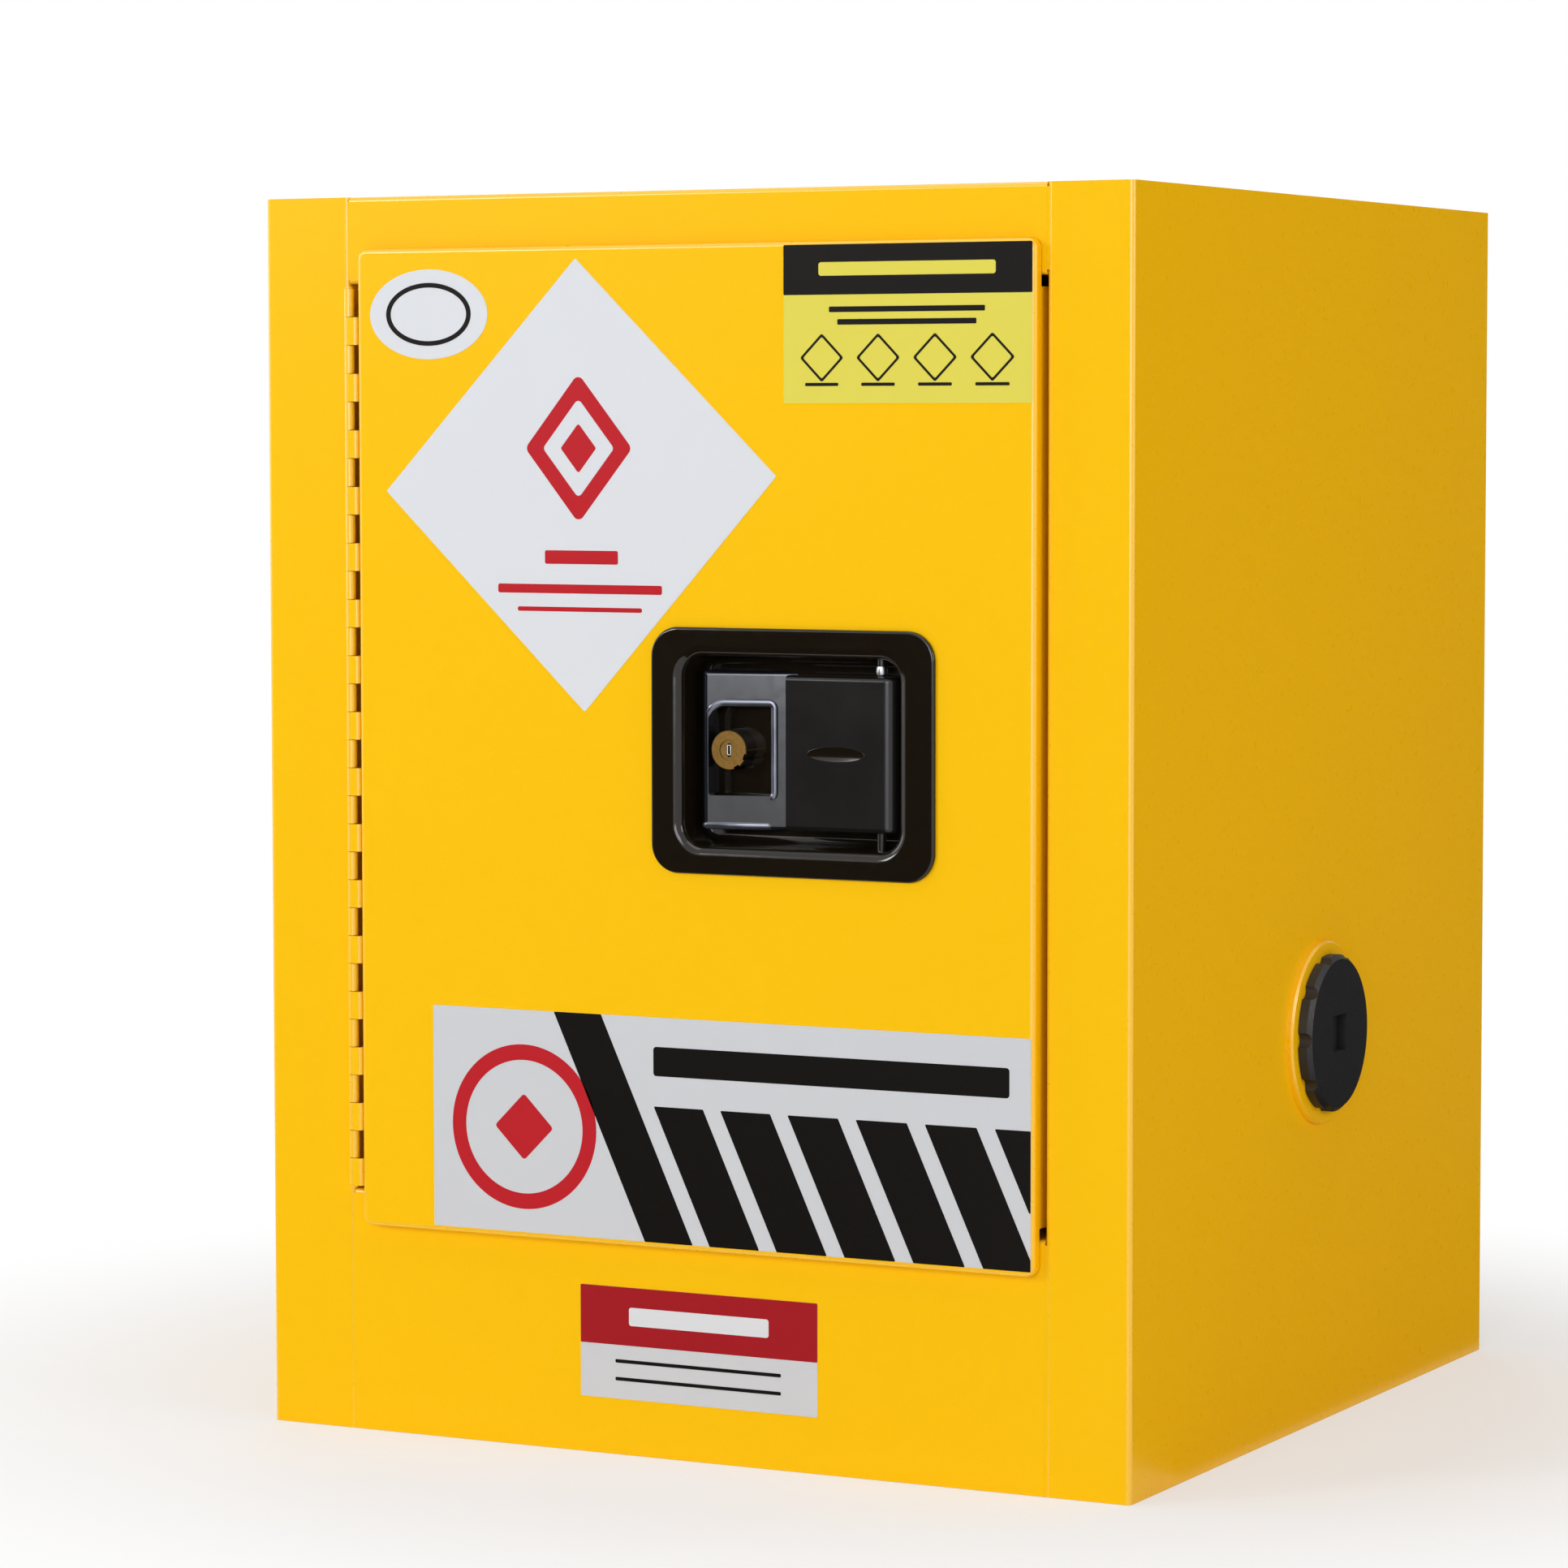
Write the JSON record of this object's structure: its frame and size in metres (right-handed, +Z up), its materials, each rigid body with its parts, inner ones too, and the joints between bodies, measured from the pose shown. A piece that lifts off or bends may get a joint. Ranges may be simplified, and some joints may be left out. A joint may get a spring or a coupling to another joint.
{
  "type": "flammable liquid safety cabinet",
  "caption": "Small steel safety cabinet with double walls, one door on a continuous hinge, a recessed paddle handle with key lock, side vents and a lift-out shelf.",
  "frame": {"origin": "middle of the base, on the floor", "axes": "+Z up, the door faces -Y, +X to the right seen from the front"},
  "size_m": [0.4643, 0.438, 0.56],
  "materials": {
    "yellow_paint": "satin powder coat",
    "galvanised_steel": "zinc plated",
    "polished_steel": "bright",
    "black_gloss": "gloss enamel",
    "black_plastic": "matt moulded",
    "rubber_seal": "matt",
    "lock_brass": "turned"
  },
  "bodies": {
    "cabinet": {"outer_side_left": "yellow_paint", "outer_side_right": "yellow_paint", "outer_top": "yellow_paint", "outer_back": "yellow_paint", "outer_base": "yellow_paint", "front_sill": "yellow_paint", "hinge_frame_leaf": "yellow_paint", "hinge_rivets_frame": "yellow_paint", "liner_left": "yellow_paint", "liner_right": "yellow_paint", "liner_back": "yellow_paint", "liner_top": "yellow_paint", "sump_pan": "yellow_paint", "vent_sleeve_low": "yellow_paint", "vent_sleeve_high": "yellow_paint", "vent_ring_low": "yellow_paint", "vent_ring_high": "yellow_paint", "floor_channels": "galvanised_steel", "back_channels": "galvanised_steel", "strike_side": "galvanised_steel", "strike_top": "galvanised_steel", "strike_bottom": "galvanised_steel", "shelf_clips": "galvanised_steel", "hinge_pin": "galvanised_steel", "earth_stud": "galvanised_steel", "earth_nuts": "galvanised_steel", "earth_washers": "galvanised_steel", "flame_arrester_low": "galvanised_steel", "flame_arrester_high": "galvanised_steel"},
    "door": {"door_skin": "yellow_paint", "door_inner_pan": "yellow_paint", "door_stiffener": "galvanised_steel", "hinge_door_leaf": "yellow_paint", "hinge_rivets_door": "yellow_paint", "handle_dish": "black_gloss", "dish_gasket": "rubber_seal", "dish_nuts": "galvanised_steel", "finger_ramp": "black_gloss", "paddle_pin": "polished_steel", "latch_base": "galvanised_steel", "slide_rivets": "galvanised_steel", "bolt_guide": "galvanised_steel", "rod_bracket_top": "galvanised_steel", "rod_bracket_bottom": "galvanised_steel", "rod_bushes": "black_plastic", "lock_cylinder": "lock_brass", "lock_nut": "lock_brass"},
    "paddle": {"paddle": "black_gloss", "paddle_spring": "polished_steel"},
    "key": {"key_plug": "lock_brass", "lock_cam": "polished_steel"},
    "slide": {"latch_slide": "galvanised_steel", "latch_bolt": "polished_steel"},
    "upper_rod": {"top_rod": "galvanised_steel"},
    "lower_rod": {"bottom_rod": "galvanised_steel"},
    "shelf_body": {"shelf": "galvanised_steel"},
    "low_cap": {"vent_cap_low": "black_plastic"},
    "high_cap": {"vent_cap_high": "black_plastic"}
  },
  "joints": [
    {"name": "door_swing", "type": "hinge", "parent": "cabinet", "child": "door", "pos_m": [-0.1684, -0.219, 0.31575], "axis": [0, 0, -1], "range_deg": [0, 175]},
    {"name": "paddle_pull", "type": "hinge", "parent": "door", "child": "paddle", "pos_m": [0.0965, -0.2134, 0.31575], "axis": [0, 0, 1], "range_deg": [0, 35], "stiffness_Nm_per_rad": 0.12, "springref_deg": -20.05},
    {"name": "slide_retract", "type": "slide", "parent": "door", "child": "slide", "axis": [-1, 0, 0], "range_m": [0, 0.00912]},
    {"name": "upper_rod_draw", "type": "slide", "parent": "door", "child": "upper_rod", "axis": [0, 0, -1], "range_m": [0, 0.00912]},
    {"name": "lower_rod_draw", "type": "slide", "parent": "door", "child": "lower_rod", "axis": [0, 0, 1], "range_m": [0, 0.00912]},
    {"name": "key_turn", "type": "hinge", "parent": "door", "child": "key", "pos_m": [0.0211, -0.195, 0.31575], "axis": [0, -1, 0], "range_deg": [0, 90]},
    {"name": "shelf_lift", "type": "slide", "parent": "cabinet", "child": "shelf_body", "axis": [0, 0, 1], "range_m": [0, 0.03]},
    {"name": "low_cap_off", "type": "slide", "parent": "cabinet", "child": "low_cap", "axis": [1, 0, 0], "range_m": [0, 0.02]},
    {"name": "high_cap_off", "type": "slide", "parent": "cabinet", "child": "high_cap", "axis": [-1, 0, 0], "range_m": [0, 0.02]}
  ],
  "couplings": [
    {"joint": "slide_retract", "follows": "paddle_pull", "m_per_rad": 0.014929},
    {"joint": "upper_rod_draw", "follows": "paddle_pull", "m_per_rad": 0.014929},
    {"joint": "lower_rod_draw", "follows": "paddle_pull", "m_per_rad": 0.014929}
  ]
}
